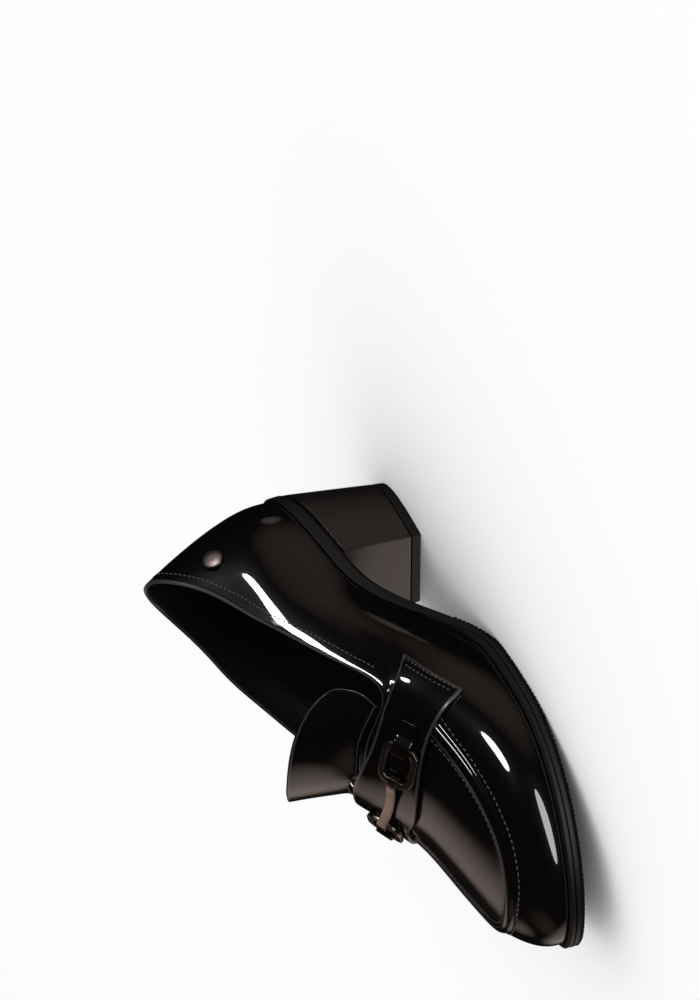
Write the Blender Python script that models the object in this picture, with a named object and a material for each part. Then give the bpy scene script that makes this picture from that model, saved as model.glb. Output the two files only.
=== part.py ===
"""Block-heeled loafer pump, left shoe, standing on its sole.

Lengths are in millimetres and become metres when a mesh is made. Along runs from the back of the
sole to the toe, out is positive to the outer (lateral) side of the foot, and up starts at the floor.
World +X is out, -Y is along and +Z is up. The origin is the middle of the heel's tread.
"""

import math

import bmesh
import bpy
import numpy as np
from mathutils import Vector
from mathutils.bvhtree import BVHTree

MM = 0.001

# Overall sizes
SHOE_LENGTH = 242.5
BALL_HALF_WIDTH = 44.0
GAP = 0.3

# Sole profile, seen from the side
HEEL_HEIGHT = 45.3
SEAT_LENGTH = 60.0
SEAT_DROP = 10.4
BALL_START = 129.0
SPRING_START = 158.0
TOE_SPRING = 14.0
SPRING_POWER = 1.6
SEAT_STACK = 6.8
FORE_STACK = 6.7
WELT_THICK = 2.6
WELT_START = 97.0
WELT_FULL = 120.0
WELT_TIP_THICK = 0.8
WELT_STEP = 3.0
WELT_INSET = 0.25
WELT_BEVEL = 1.3
WELT_BEVEL_SHARE = 0.6
SOLE_BEVEL = 1.3
SOLE_BEVEL_HEIGHT = 1.7

# Heel
BREAST_OUTER = 51.0
BREAST_INNER = 58.0
HEEL_INSET = 0.5
TREAD_BACK = 8.5
TREAD_WIDTH_SHARE = 0.8
TOP_PIECE_THICK = 4.2

# Upper
BACK_RISE = 67.3
INSTEP_RISE = 58.8
WALL = 1.8
FOOT_INSET_HEEL = 1.5
FOOT_INSET_FORE = 2.7
SEAM_RISE = 1.6
SEAM_HALF_WIDTH = 2.3

# Insole
INSOLE_THICK = 2.4

# Tongue: the middle line leaves the throat's edge, bends up and leans back
TONGUE_THICK = 2.0
TONGUE_HALF_WIDTH = 46.5
TONGUE_RISE = 28.5
TONGUE_LEAN = 11.5
TONGUE_BEND_BACK = 8.5
TONGUE_BEND_RISE = 5.0
TONGUE_ARCH_RADIUS = 40
TONGUE_FALL_ANGLE = 26.0
TONGUE_ROUNDNESS = 3.4
TONGUE_SET = 0.4
TONGUE_SHIFT = -3.8
TONGUE_BASE_SHARE = 0.87
TONGUE_BASE_GAP = 3.2
TONGUE_END_SHARE = 0.96
TONGUE_LAST_COLUMN_TURN = 80.0

# Saddle strap, and how far its ends reach down the side wall below the seam's line
STRAP_THICK = 1.8
STRAP_OUTER_DROP = {"back": 7.0, "front": 18.0}
STRAP_INNER_DROP = {"back": 5.0, "front": 9.0}
STRAP_CLEARANCE = 0.5

# Bit: two flat rings and a bar that lie on the strap, each ring held by a leather loop
RING_LENGTH = 19.0
RING_WIDTH = 17.0
RING_BAND = 2.8
RING_THICK = 2.2
RING_ROUND = 5.5
RING_CHAMFER = 2.8
BIT_SPAN = 38.0
BIT_PLACE = 0.6
BAR_WIDTH = 4.3
BAR_THICK = 1.3
BAR_MIDDLE_LIFT = 1.0
BAR_HOOK = 1.9
BAR_STEPS = 9
RING_LIFT = 0.9
LOOP_WIDTH = 7.6
LOOP_THICK = 1.1
LOOP_TAIL = 9.0
LOOP_CLIMB = 3.0
LOOP_STEPS = 4
LOOP_FIRST_LIFT = 0.4

# Rivet on the outer quarter: its rib, and its share of the way from the wall's turn to the topline
RIVET_RADIUS = 4.7
RIVET_THICK = 1.7
RIVET_DOME = 0.6
RIVET_RIB = 1.93
RIVET_SHARE = 0.53

# How finely the shapes are divided
RIBS_A_ROW = 3
PLATE_LINES = 3
STRAP_ROOF_STEPS = 9
STRAP_WALL_STEPS = 3
STRAP_LINES = 6
TONGUE_COLUMNS = 16
TONGUE_ROWS = 9
ROUND_STEPS = 24
CORNER_STEPS = 4

# Ribs of the last round each side, from the middle of the heel's back to the toe.
# sole_*: the sole's outline. knee_*: the place where the side wall turns, which is the apron seam
# in the front. top_*: the topline, the throat's edge and then the crest. Along values are shares of
# SHOE_LENGTH, out values of BALL_HALF_WIDTH and rise values of BACK_RISE above the sole's top.
# foot_lean is how far the wall leans out from upright at its foot, knee_lean how far its line
# falls below level at the knee and top_lean at the topline, all in degrees. None means that the
# plug's own surface gives the height.
COLUMNS = (
    "sole_along", "sole_out", "knee_along", "knee_out", "knee_rise",
    "top_along", "top_out", "top_rise", "foot_lean", "knee_lean", "top_lean",
)
HEEL_BACK_RIB = (0.0, 0.0, 0.021, 0.0, 0.38, 0.0895, 0.0, 1.0, 6, 72, 64)
OUTER_RIBS = (
    (0.025, 0.345, 0.043, 0.325, 0.38, 0.104, 0.190, 0.955, 8, 74, 64),
    (0.099, 0.545, 0.109, 0.535, 0.38, 0.165, 0.355, 0.800, 10, 78, 66),
    (0.206, 0.600, 0.206, 0.610, 0.39, 0.247, 0.460, 0.680, 14, 82, 68),
    (0.322, 0.625, 0.322, 0.665, 0.40, 0.338, 0.565, 0.652, 20, 82, 68),
    (0.429, 0.755, 0.429, 0.780, 0.46, 0.437, 0.670, 0.700, 20, 76, 64),
    (0.524, 0.895, 0.524, 0.845, 0.59, 0.538, 0.775, 0.695, 20, 62, 58),
    (0.594, 0.970, 0.590, 0.832, None, 0.569, 0.430, None, 20, 52, 52),
    (0.668, 1.000, 0.652, 0.791, None, 0.593, 0.0, None, 18, 46, 46),
    (0.750, 0.965, 0.726, 0.740, None, 0.643, 0.0, None, 16, 44, 44),
    (0.833, 0.850, 0.800, 0.655, None, 0.697, 0.0, None, 14, 42, 42),
    (0.905, 0.660, 0.863, 0.505, None, 0.752, 0.0, None, 12, 40, 40),
    (0.966, 0.385, 0.908, 0.265, None, 0.800, 0.0, None, 8, 38, 38),
)
INNER_RIBS = (
    (0.025, 0.345, 0.043, 0.325, 0.38, 0.104, 0.190, 0.965, 8, 74, 64),
    (0.099, 0.545, 0.109, 0.530, 0.40, 0.168, 0.365, 0.860, 10, 78, 66),
    (0.206, 0.585, 0.206, 0.600, 0.41, 0.253, 0.480, 0.789, 14, 82, 68),
    (0.322, 0.545, 0.322, 0.640, 0.42, 0.342, 0.585, 0.785, 28, 84, 68),
    (0.429, 0.602, 0.429, 0.745, 0.50, 0.437, 0.700, 0.830, 30, 78, 64),
    (0.524, 0.739, 0.528, 0.820, 0.65, 0.542, 0.800, 0.790, 26, 64, 58),
    (0.594, 0.852, 0.594, 0.823, None, 0.572, 0.440, None, 20, 52, 52),
    (0.668, 0.932, 0.656, 0.791, None, 0.593, 0.0, None, 18, 46, 46),
    (0.750, 0.945, 0.726, 0.757, None, 0.643, 0.0, None, 16, 44, 44),
    (0.833, 0.885, 0.796, 0.690, None, 0.697, 0.0, None, 14, 42, 42),
    (0.903, 0.750, 0.860, 0.575, None, 0.752, 0.0, None, 12, 40, 40),
    (0.964, 0.510, 0.906, 0.390, None, 0.800, 0.0, None, 8, 38, 38),
)
TOE_RIB = (1.0, -0.060, 0.925, -0.065, None, 0.842, 0.0, None, 6, 36, 36)
CORNER_RIB = 6
CREST_RIB = 8
LAST_RIB = 13

# Crest of the instep and plug: along as a share of SHOE_LENGTH, rise above the sole's top as a
# share of INSTEP_RISE, radius of the arch across and the crest's place out in millimetres.
CREST_COLUMNS = ("along", "rise", "arch", "out")
CREST = (
    (0.470, 1.520, 24.0, -3.0),
    (0.524, 1.250, 27.0, -3.6),
    (0.581, 1.045, 36.0, -4.0),
    (0.619, 0.923, 44.0, -4.3),
    (0.660, 0.815, 52.0, -4.6),
    (0.701, 0.734, 57.0, -4.9),
    (0.742, 0.670, 60.0, -5.1),
    (0.825, 0.542, 62.0, -5.3),
    (0.874, 0.462, 62.0, -5.2),
    (0.922, 0.386, 62.0, -5.0),
)

# Strap's edges: along as shares of SHOE_LENGTH at its outer end, the outer side of the seam's line,
# the crest, the inner side and the inner end
STRAP_EDGES = {
    "back": (0.490, 0.530, 0.583, 0.545, 0.534),
    "front": (0.600, 0.636, 0.688, 0.655, 0.658),
}


def clamp_share(value, low, high):
    return np.clip((np.asarray(value, float) - low) / (high - low), 0.0, 1.0)


def smooth_step(value, low, high):
    t = clamp_share(value, low, high)
    return t * t * (3.0 - 2.0 * t)


class Curve:
    """Smooth curve through the rows of a table, each column by itself, at the given places."""

    def __init__(self, places, rows):
        self.places = np.asarray(places, float)
        self.rows = np.asarray(rows, float).reshape(len(self.places), -1)
        count = len(self.places)
        step = np.diff(self.places)
        slope = np.diff(self.rows, axis=0) / step[:, None]
        system = np.eye(count)
        right = np.zeros_like(self.rows)
        for i in range(1, count - 1):
            system[i, i - 1 : i + 2] = step[i - 1], 2 * (step[i - 1] + step[i]), step[i]
            right[i] = 6 * (slope[i] - slope[i - 1])
        self.bend = np.linalg.solve(system, right)

    def __call__(self, place):
        place = np.atleast_1d(np.asarray(place, float))
        i = np.clip(np.searchsorted(self.places, place) - 1, 0, len(self.places) - 2)
        step = (self.places[i + 1] - self.places[i])[:, None]
        b = ((place - self.places[i])[:, None]) / step
        a = 1 - b
        cubic = (a**3 - a) * self.bend[i] + (b**3 - b) * self.bend[i + 1]
        return a * self.rows[i] + b * self.rows[i + 1] + cubic * step**2 / 6


def sole_bottom(along):
    """Height of the sole's underside: heel seat, shank, flat ball and toe spring."""
    along = np.asarray(along, float)
    seat_slope = -SEAT_DROP / SEAT_LENGTH
    seat = HEEL_HEIGHT + seat_slope * along
    shank = BALL_START - SEAT_LENGTH
    t = clamp_share(along, SEAT_LENGTH, BALL_START)
    fall = (HEEL_HEIGHT - SEAT_DROP) * (1 - t * t * (3 - 2 * t))
    fall = fall + seat_slope * shank * t * (1 - t) ** 2
    spring = TOE_SPRING * clamp_share(along, SPRING_START, SHOE_LENGTH) ** SPRING_POWER
    return np.where(along < SEAT_LENGTH, seat, fall + spring)


def sole_top(along):
    stack = SEAT_STACK + (FORE_STACK - SEAT_STACK) * smooth_step(along, SEAT_LENGTH, WELT_FULL)
    return sole_bottom(along) + stack


def welt_bottom(along):
    thick = WELT_TIP_THICK + (WELT_THICK - WELT_TIP_THICK) * smooth_step(along, WELT_START, WELT_FULL)
    return sole_top(along) - thick


def welt_edge(along):
    """Height where the welt's upright edge turns into its bevel."""
    low, high = welt_bottom(along), sole_top(along)
    return low + (high - low) * WELT_BEVEL_SHARE


def outsole_top(along):
    """The outsole's top steps down under the welt in the front half."""
    down = clamp_share(along, WELT_START - WELT_STEP, WELT_START - GAP)
    return sole_top(along) + (welt_bottom(along) - GAP - sole_top(along)) * down


CREST_ROWS = [dict(zip(CREST_COLUMNS, row)) for row in CREST]
CREST_START = CREST_ROWS[0]["along"] * SHOE_LENGTH
CREST_END = CREST_ROWS[-1]["along"] * SHOE_LENGTH
CREST_CURVE = Curve(
    [row["along"] * SHOE_LENGTH for row in CREST_ROWS],
    [[row["rise"], row["arch"], row["out"]] for row in CREST_ROWS],
)


def plug_height(along, out):
    """Height of the instep and plug surface: an arch across the crest's line."""
    along = np.clip(np.asarray(along, float), CREST_START, CREST_END)
    rise, arch, middle = CREST_CURVE(along).T
    return sole_top(along) + rise * INSTEP_RISE - (out - middle) ** 2 / (2 * arch)


def crest_out(along):
    return CREST_CURVE(along)[:, 2]


def rib_rows():
    """Rib tables in millimetres, all round: outer side from heel to toe, then the inner side back."""
    shares = [dict(zip(COLUMNS, HEEL_BACK_RIB))]
    shares += [dict(zip(COLUMNS, row)) for row in OUTER_RIBS]
    shares += [dict(zip(COLUMNS, TOE_RIB))]
    inner = [dict(zip(COLUMNS, row)) for row in reversed(INNER_RIBS)]
    for row in inner:
        for name in ("sole_out", "knee_out", "top_out"):
            row[name] = -row[name]
    rows = []
    for row in shares + inner:
        sole = row["sole_along"] * SHOE_LENGTH, row["sole_out"] * BALL_HALF_WIDTH
        knee = row["knee_along"] * SHOE_LENGTH, row["knee_out"] * BALL_HALF_WIDTH
        top_along = row["top_along"] * SHOE_LENGTH
        top_out = row["top_out"] * BALL_HALF_WIDTH
        if row["knee_rise"] is None:
            knee_rise = plug_height(*knee)[0] - float(sole_top(knee[0]))
        else:
            knee_rise = row["knee_rise"] * BACK_RISE
        if row["top_rise"] is None:
            top_rise = plug_height(top_along, top_out)[0] - float(sole_top(top_along))
        else:
            top_rise = row["top_rise"] * BACK_RISE
        leans = row["foot_lean"], row["knee_lean"], row["top_lean"]
        rows.append((*sole, *knee, knee_rise, top_along, top_out, top_rise, *leans))
    return np.array(rows)


RIB_ROWS = rib_rows()
RING_ROWS = len(RIB_ROWS)
WRAP = 4
RING_PLACES = np.arange(-WRAP, RING_ROWS + WRAP)
RIB_CURVE = Curve(RING_PLACES, RIB_ROWS[RING_PLACES % RING_ROWS])


def ring_place(rib, side):
    """Place round the whole ring of a rib counted from the heel on one side (1 outer, -1 inner)."""
    return rib if side > 0 else RING_ROWS - rib


def sole_point(rib, side, inset=0.0):
    """(along, out) on the sole's outline, moved in by the inset, with the outward direction."""
    place = ring_place(rib, side)
    nudge = 0.01
    here = RIB_CURVE(place)[0, :2]
    ahead = RIB_CURVE(place + nudge)[0, :2] - RIB_CURVE(place - nudge)[0, :2]
    outward = np.array([-ahead[1], ahead[0]]) / np.hypot(*ahead)
    return here - outward * inset, outward


TOP_CURVES = {
    side: Curve(
        np.arange(0, CREST_RIB + 1),
        [RIB_ROWS[ring_place(rib, side) % RING_ROWS, 5:8] for rib in range(CREST_RIB + 1)],
    )
    for side in (1, -1)
}
CREST_PLACES = Curve(
    np.arange(CREST_RIB, LAST_RIB + 1),
    [RIB_ROWS[rib, 5] for rib in range(CREST_RIB, LAST_RIB + 1)],
)


def rib(place, side):
    """The three places that a rib runs through, with the directions of its line there."""
    row = RIB_CURVE(ring_place(place, side))[0]
    inset = FOOT_INSET_HEEL + (FOOT_INSET_FORE - FOOT_INSET_HEEL) * smooth_step(
        row[0], SEAT_LENGTH, BALL_START
    )
    (along, out), outward = sole_point(place, side, inset)
    level = np.array([outward[0], outward[1], 0.0])
    upright = np.array([0.0, 0.0, 1.0])
    foot = np.array([along, out, sole_top(along) + GAP])
    knee = np.array([row[2], row[3], sole_top(row[2]) + row[4]])
    if place <= CREST_RIB:
        top_along, top_out, top_rise = TOP_CURVES[side](place)[0]
        top = np.array([top_along, top_out, sole_top(top_along) + top_rise])
    if place > CREST_RIB - 1e-6:
        top_along = CREST_PLACES(place)[0, 0]
        top_out = crest_out(top_along)[0]
        top = np.array([top_along, top_out, plug_height(top_along, top_out)[0]])
    foot_lean, knee_lean, top_lean = np.radians(row[8:11])
    foot_way = level * math.sin(foot_lean) + upright * math.cos(foot_lean)
    knee_way = -level * math.cos(knee_lean) + upright * math.sin(knee_lean)
    top_way = -level * math.cos(top_lean) + upright * math.sin(top_lean)
    return foot, knee, top, foot_way, knee_way, top_way


def bezier(start, start_way, end, end_way, share, reach=0.37):
    span = np.linalg.norm(end - start) * reach
    a, b = start + start_way * span, end - end_way * span
    t = share
    return start * (1 - t) ** 3 + a * 3 * t * (1 - t) ** 2 + b * 3 * t * t * (1 - t) + end * t**3


def wall_point(place, side, share):
    """Side wall below the knee: share 0 at the foot, 1 at the knee."""
    foot, knee, _, foot_way, knee_way, _ = rib(place, side)
    return bezier(foot, foot_way, knee, knee_way, share)


def roof_point(place, side, share):
    """Surface above the knee: the quarter up to the topline, the plug up to the crest."""
    _, knee, top, _, knee_way, top_way = rib(place, side)
    quarter = bezier(knee, knee_way, top, top_way, share)
    flat = knee + (top - knee) * share
    off = (1 - share) ** 2 * (knee[2] - plug_height(knee[0], knee[1])[0])
    off += share**2 * (top[2] - plug_height(top[0], top[1])[0])
    flat[2] = plug_height(flat[0], flat[1])[0] + off
    plug = float(smooth_step(place, CORNER_RIB, CORNER_RIB + 1))
    return quarter * (1 - plug) + flat * plug


# Rows of the upper's wall from its foot to the top: the part, then the share of that part, or the
# distance from the seam in shares of SEAM_HALF_WIDTH, with the seam's rise in shares of SEAM_RISE.
WALL_SHARES = (0.0, 0.10, 0.24, 0.40, 0.57, 0.74)
SEAM_STEPS = ((-1.45, 0.0), (-1.0, 0.12), (-0.62, 0.75), (0.1, 1.0), (0.75, 0.85), (1.0, 0.05))
ROOF_SHARES = (0.30, 0.50, 0.70, 0.86, 1.0)
SEAM_FADE = (6.8, 7.6)


def seam_strength(place):
    return float(smooth_step(place, *SEAM_FADE))


def rib_line(place, side):
    """Points of one rib on the last's surface, and the rise of the seam's step at each."""
    foot, knee, top = rib(place, side)[:3]
    wall_span = np.linalg.norm(knee - foot)
    roof_span = np.linalg.norm(top - knee)
    strength = seam_strength(place)
    points = [wall_point(place, side, share) for share in WALL_SHARES]
    rises = [0.0] * len(WALL_SHARES)
    last_step = SEAM_STEPS[-1][0] * SEAM_HALF_WIDTH / roof_span
    if strength == 0.0:
        last_step = 0.12
    for step, rise in SEAM_STEPS:
        reach = step * SEAM_HALF_WIDTH
        if step < 0:
            share = 1 + reach * 1.06 / wall_span
            blend = 1 + step * 0.1
            share = share * strength + blend * (1 - strength)
            points.append(wall_point(place, side, share))
        else:
            share = reach / roof_span * strength + step * 0.12 * (1 - strength)
            points.append(roof_point(place, side, share))
        rises.append(rise * SEAM_RISE * strength)
    for share in ROOF_SHARES:
        here = last_step + (1 - last_step) * (share - 0.15) / 0.85
        points.append(roof_point(place, side, here))
        rises.append(0.0)
    return np.array(points), np.array(rises)


def turned(points):
    """From (along, out, up) in millimetres to the world, in metres."""
    points = np.asarray(points, float)
    tread_middle = (TREAD_BACK + (BREAST_OUTER + BREAST_INNER) / 2) / 2
    return np.stack([points[..., 1], tread_middle - points[..., 0], points[..., 2]], -1) * MM


def add_solid(name, points, faces, look):
    """A closed mesh object from points in (along, out, up)."""
    mesh = bpy.data.meshes.new(name)
    work = bmesh.new()
    corners = [work.verts.new(p) for p in turned(points)]
    for face in faces:
        work.faces.new([corners[i] for i in face])
    bmesh.ops.recalc_face_normals(work, faces=work.faces)
    if work.calc_volume(signed=True) < 0:
        bmesh.ops.reverse_faces(work, faces=work.faces)
    work.to_mesh(mesh)
    work.free()
    mesh.materials.append(look)
    thing = bpy.data.objects.new(name, mesh)
    bpy.context.scene.collection.objects.link(thing)
    return thing


def grid_normals(grid):
    """Unit normals of a grid of points, from the differences along both of its ways."""
    normals = np.cross(np.gradient(grid, axis=0), np.gradient(grid, axis=1))
    return normals / np.maximum(np.linalg.norm(normals, axis=-1, keepdims=True), 1e-9)


def make_look(name, colour, roughness, metallic=0.0, coat=0.0):
    look = bpy.data.materials.new(name)
    look.use_nodes = True
    shader = look.node_tree.nodes["Principled BSDF"]
    shader.inputs["Base Color"].default_value = (*colour, 1.0)
    shader.inputs["Roughness"].default_value = roughness
    shader.inputs["Metallic"].default_value = metallic
    shader.inputs["Coat Weight"].default_value = coat
    return look


def place_at(along, side, columns=0):
    """The rib place whose sole (column 0) or knee (column 2) lies this far along."""
    places = np.linspace(0, LAST_RIB, 40 * LAST_RIB + 1)
    reached = RIB_CURVE(ring_place(places, side))[:, columns]
    return float(np.interp(along, reached, places))


class Plate:
    """A solid of rings stacked round the foot, with a cap of cross lines below and above."""

    def __init__(self, outer, inner, closed_back, closed_front):
        self.outer, self.inner = outer, inner
        self.ends = closed_back, closed_front
        self.points, self.faces = [], []

    def ring(self, inset, height, squeeze=None):
        """Adds a ring and returns its corner numbers, outer side first, then the inner side."""
        sides = []
        for side, places in ((1, self.outer), (-1, self.inner)):
            numbers = []
            for i, place in enumerate(places):
                shared = (i == 0 and self.ends[0]) or (i == len(places) - 1 and self.ends[1])
                if side < 0 and shared:
                    numbers.append(sides[0][i])
                    continue
                (along, out), _ = sole_point(place, side, inset)
                if squeeze:
                    along, out = squeeze(along, out)
                numbers.append(len(self.points))
                self.points.append((along, out, float(height(along))))
            sides.append(numbers)
        return sides

    def loop(self, ring):
        outer, inner = ring
        start = 1 if self.ends[0] else 0
        stop = len(inner) - 1 if self.ends[1] else len(inner)
        return outer + inner[start:stop][::-1]

    def bridge(self, low, high):
        low, high = self.loop(low), self.loop(high)
        for i in range(len(low)):
            j = (i + 1) % len(low)
            self.faces.append((low[i], low[j], high[j], high[i]))

    def cap(self, ring, height):
        """Closes a ring with lines across it, so that the face follows the height."""
        outer, inner = ring
        lines = []
        for a, b in zip(outer, inner):
            if a == b:
                lines.append([a] * (PLATE_LINES + 2))
                continue
            line = [a]
            start, end = np.array(self.points[a]), np.array(self.points[b])
            for step in range(1, PLATE_LINES + 1):
                along, out = (start + (end - start) * step / (PLATE_LINES + 1))[:2]
                line.append(len(self.points))
                self.points.append((along, out, float(height(along))))
            lines.append(line + [b])
        for near, far in zip(lines[:-1], lines[1:]):
            for i in range(PLATE_LINES + 1):
                face = list(dict.fromkeys((near[i], near[i + 1], far[i + 1], far[i])))
                if len(face) > 2:
                    self.faces.append(face)
        return lines


def stack_plate(name, outer, inner, rings, look, closed_back=True, closed_front=True, squeeze=None):
    """A plate from (inset, height) rings listed from its underside to its top."""
    plate = Plate(outer, inner, closed_back, closed_front)
    made = []
    for inset, height, squeezed in rings:
        made.append(plate.ring(inset, height, squeeze if squeezed else None))
    bottom = plate.cap(made[0], rings[0][1])
    top = plate.cap(made[-1], rings[-1][1])
    for low, high in zip(made[:-1], made[1:]):
        low_loop, high_loop = plate.loop(low), plate.loop(high)
        for i in range(len(low_loop)):
            j = (i + 1) % len(low_loop)
            plate.faces.append((low_loop[i], low_loop[j], high_loop[j], high_loop[i]))
    for is_closed, which in ((closed_back, 0), (closed_front, -1)):
        if is_closed:
            continue
        cut_end(plate, made, bottom[which], top[which], which)
    return add_solid(name, plate.points, plate.faces, look)


def cut_end(plate, made, bottom, top, which):
    """Trades the flat end quads for one wall that meets the cross lines of both caps."""
    ends = [{ring[0][which], ring[1][which]} for ring in made]
    pairs = [low | high for low, high in zip(ends[:-1], ends[1:])]
    plate.faces = [face for face in plate.faces if set(face) not in pairs]
    outer_side = [ring[0][which] for ring in made]
    inner_side = [ring[1][which] for ring in made]
    plate.faces.append(bottom + inner_side[1:-1] + top[::-1] + outer_side[1:-1][::-1])


def even_places(start, stop, count):
    return list(np.linspace(start, stop, count))


def welt_places(side):
    count = (LAST_RIB - CORNER_RIB + 1) * RIBS_A_ROW
    return even_places(place_at(WELT_START, side), LAST_RIB, count)


def outsole_places(side):
    """Ribs of the outsole: those of the back, the step under the welt's tip, those of the welt."""
    step_top = place_at(WELT_START - WELT_STEP, side)
    step_foot = place_at(WELT_START - GAP, side)
    return even_places(0, step_top, 5 * RIBS_A_ROW) + [step_foot] + welt_places(side)[1:]


def build_outsole(look):
    rings = (
        (SOLE_BEVEL, sole_bottom, False),
        (0.0, lambda along: sole_bottom(along) + SOLE_BEVEL_HEIGHT, False),
        (0.0, outsole_top, False),
    )
    return stack_plate("outsole", outsole_places(1), outsole_places(-1), rings, look)


def build_welt(look):
    """Thin bevelled layer of the front half, between outsole and upper."""
    rings = (
        (WELT_INSET, welt_bottom, False),
        (WELT_INSET, welt_edge, False),
        (WELT_BEVEL, sole_top, False),
    )
    return stack_plate("welt", welt_places(1), welt_places(-1), rings, look, closed_back=False)


def tread_squeeze(share):
    """Moves the heel's outline from the seat's shape (0) to the tread's (1)."""

    def squeeze(along, out):
        front = (BREAST_OUTER + BREAST_INNER) / 2
        low_along = TREAD_BACK + (along - HEEL_INSET) * (front - TREAD_BACK) / (front - HEEL_INSET)
        low_out = out * TREAD_WIDTH_SHARE
        return along + (low_along - along) * share, out + (low_out - out) * share

    return squeeze


def heel_ring_places():
    count = 4 * RIBS_A_ROW + 1
    outer = even_places(0, place_at(BREAST_OUTER, 1), count)
    inner = even_places(0, place_at(BREAST_INNER, -1), count)
    return outer, inner


def build_heel_block(look):
    outer, inner = heel_ring_places()
    plate = Plate(outer, inner, True, False)
    floor_gap = TOP_PIECE_THICK + GAP
    low = lambda along: floor_gap
    high = lambda along: sole_bottom(along) - GAP
    low_share = 1 - floor_gap / HEEL_HEIGHT
    bottom_ring = plate.ring(HEEL_INSET, low, tread_squeeze(low_share))
    top_ring = plate.ring(HEEL_INSET, high)
    return finish_heel("heel_block", plate, bottom_ring, top_ring, low, high, look)


def build_heel_top_piece(look):
    outer, inner = heel_ring_places()
    plate = Plate(outer, inner, True, False)
    low = lambda along: 0.0
    high = lambda along: TOP_PIECE_THICK
    high_share = 1 - TOP_PIECE_THICK / HEEL_HEIGHT
    bottom_ring = plate.ring(HEEL_INSET, low, tread_squeeze(1.0))
    top_ring = plate.ring(HEEL_INSET, high, tread_squeeze(high_share))
    return finish_heel("heel_top_piece", plate, bottom_ring, top_ring, low, high, look)


def finish_heel(name, plate, bottom_ring, top_ring, low, high, look):
    bottom = plate.cap(bottom_ring, low)
    top = plate.cap(top_ring, high)
    plate.bridge(bottom_ring, top_ring)
    cut_end(plate, [bottom_ring, top_ring], bottom[-1], top[-1], -1)
    return add_solid(name, plate.points, plate.faces, look)


def build_insole(look):
    count = LAST_RIB * RIBS_A_ROW + 1
    places = even_places(0, LAST_RIB, count)
    inset = FOOT_INSET_FORE + WALL + GAP
    low = lambda along: sole_top(along) + GAP
    high = lambda along: sole_top(along) + GAP + INSOLE_THICK
    rings = ((inset, low, False), (inset, high, False))
    return stack_plate("insole", places, places, rings, look)


def upper_sheets():
    """Outer and inner points of the upper on each side, as grids of ribs by rows."""
    places = even_places(0, LAST_RIB, LAST_RIB * RIBS_A_ROW + 1)
    sheets = {}
    for side in (1, -1):
        lines = [rib_line(place, side) for place in places]
        base = np.array([line[0] for line in lines])
        rises = np.array([line[1] for line in lines])
        sheets[side] = base, rises
    return places, sheets


def upper_normals(sheets):
    """Outward normals on both sides, worked out across the shared heel and toe ribs and crest."""
    outer, inner = sheets[1][0], sheets[-1][0]
    ring = np.concatenate([inner[2:0:-1], outer, inner[-2:-4:-1]])
    normals_outer = grid_normals(ring)[2:-2]
    ring = np.concatenate([outer[2:0:-1], inner, outer[-2:-4:-1]])
    normals_inner = -grid_normals(ring)[2:-2]
    return {1: -normals_outer, -1: -normals_inner}


def build_upper(look):
    places, sheets = upper_sheets()
    normals = upper_normals(sheets)
    crest_start = CREST_RIB * RIBS_A_ROW
    points, faces = [], []
    numbers = {}
    rows = sheets[1][0].shape[1]
    ribs = len(places)
    for side in (1, -1):
        base, rises = sheets[side]
        normal = normals[side].copy()
        level = normal[:, 0].copy()
        level[:, 2] = 0.0
        normal[:, 0] = level / np.linalg.norm(level, axis=-1, keepdims=True)
        for i in (0, ribs - 1):
            normal[i, :, 1] = 0.0
        normal[crest_start:, -1] = crest_normals(base[crest_start:, -1])
        normal /= np.linalg.norm(normal, axis=-1, keepdims=True)
        for layer, away in (("outer", rises), ("inner", -WALL)):
            sheet = base + normal * (away[..., None] if layer == "outer" else away)
            for i in range(ribs):
                for j in range(rows):
                    shared = i in (0, ribs - 1) or (j == rows - 1 and i >= crest_start)
                    if side < 0 and shared:
                        numbers[side, layer, i, j] = numbers[1, layer, i, j]
                        continue
                    numbers[side, layer, i, j] = len(points)
                    points.append(sheet[i, j])
    for side in (1, -1):
        for i in range(ribs - 1):
            for j in range(rows - 1):
                for layer in ("outer", "inner"):
                    cell = ((i, j), (i + 1, j), (i + 1, j + 1), (i, j + 1))
                    faces.append([numbers[side, layer, a, b] for a, b in cell])
            for j in (0, rows - 1):
                if j and i >= crest_start:
                    continue
                rim = [numbers[side, "outer", i, j], numbers[side, "outer", i + 1, j]]
                rim += [numbers[side, "inner", i + 1, j], numbers[side, "inner", i, j]]
                faces.append(rim)
    return add_solid("upper", points, faces, look)


def crest_normals(line):
    """Upright normals of the crest's line, in the plane along the shoe."""
    ahead = np.gradient(line, axis=0)
    normal = np.stack([-ahead[:, 2], np.zeros(len(line)), ahead[:, 0]], -1)
    normal /= np.linalg.norm(normal, axis=-1, keepdims=True)
    return normal * np.sign(normal[:, 2:3])


def last_point(side, along, share):
    """Last's surface on a line across it: share 0 at the crest, 1 at the seam, 2 at the foot."""
    place = place_at(along, side, columns=2)
    if share >= 1:
        return wall_point(place, side, 2 - share)
    knee = rib(place, side)[1]
    middle = crest_out(along)[0]
    out = middle + (knee[1] - middle) * share
    off = knee[2] - plug_height(knee[0], knee[1])[0]
    return np.array([along, out, plug_height(along, out)[0] + off * share**4])


def strap_edge(name):
    """Along of one edge of the strap by its share across, and the shares at which it ends."""
    ends = {}
    for side, row, drops in ((1, 1, STRAP_OUTER_DROP), (-1, 3, STRAP_INNER_DROP)):
        along = STRAP_EDGES[name][row] * SHOE_LENGTH
        foot, knee = rib(place_at(along, side, columns=2), side)[:2]
        ends[side] = 1 + drops[name] / np.linalg.norm(knee - foot)
    places = [-ends[-1], -1, 0, 1, ends[1]]
    return Curve(places, [share * SHOE_LENGTH for share in STRAP_EDGES[name][::-1]]), ends


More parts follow.
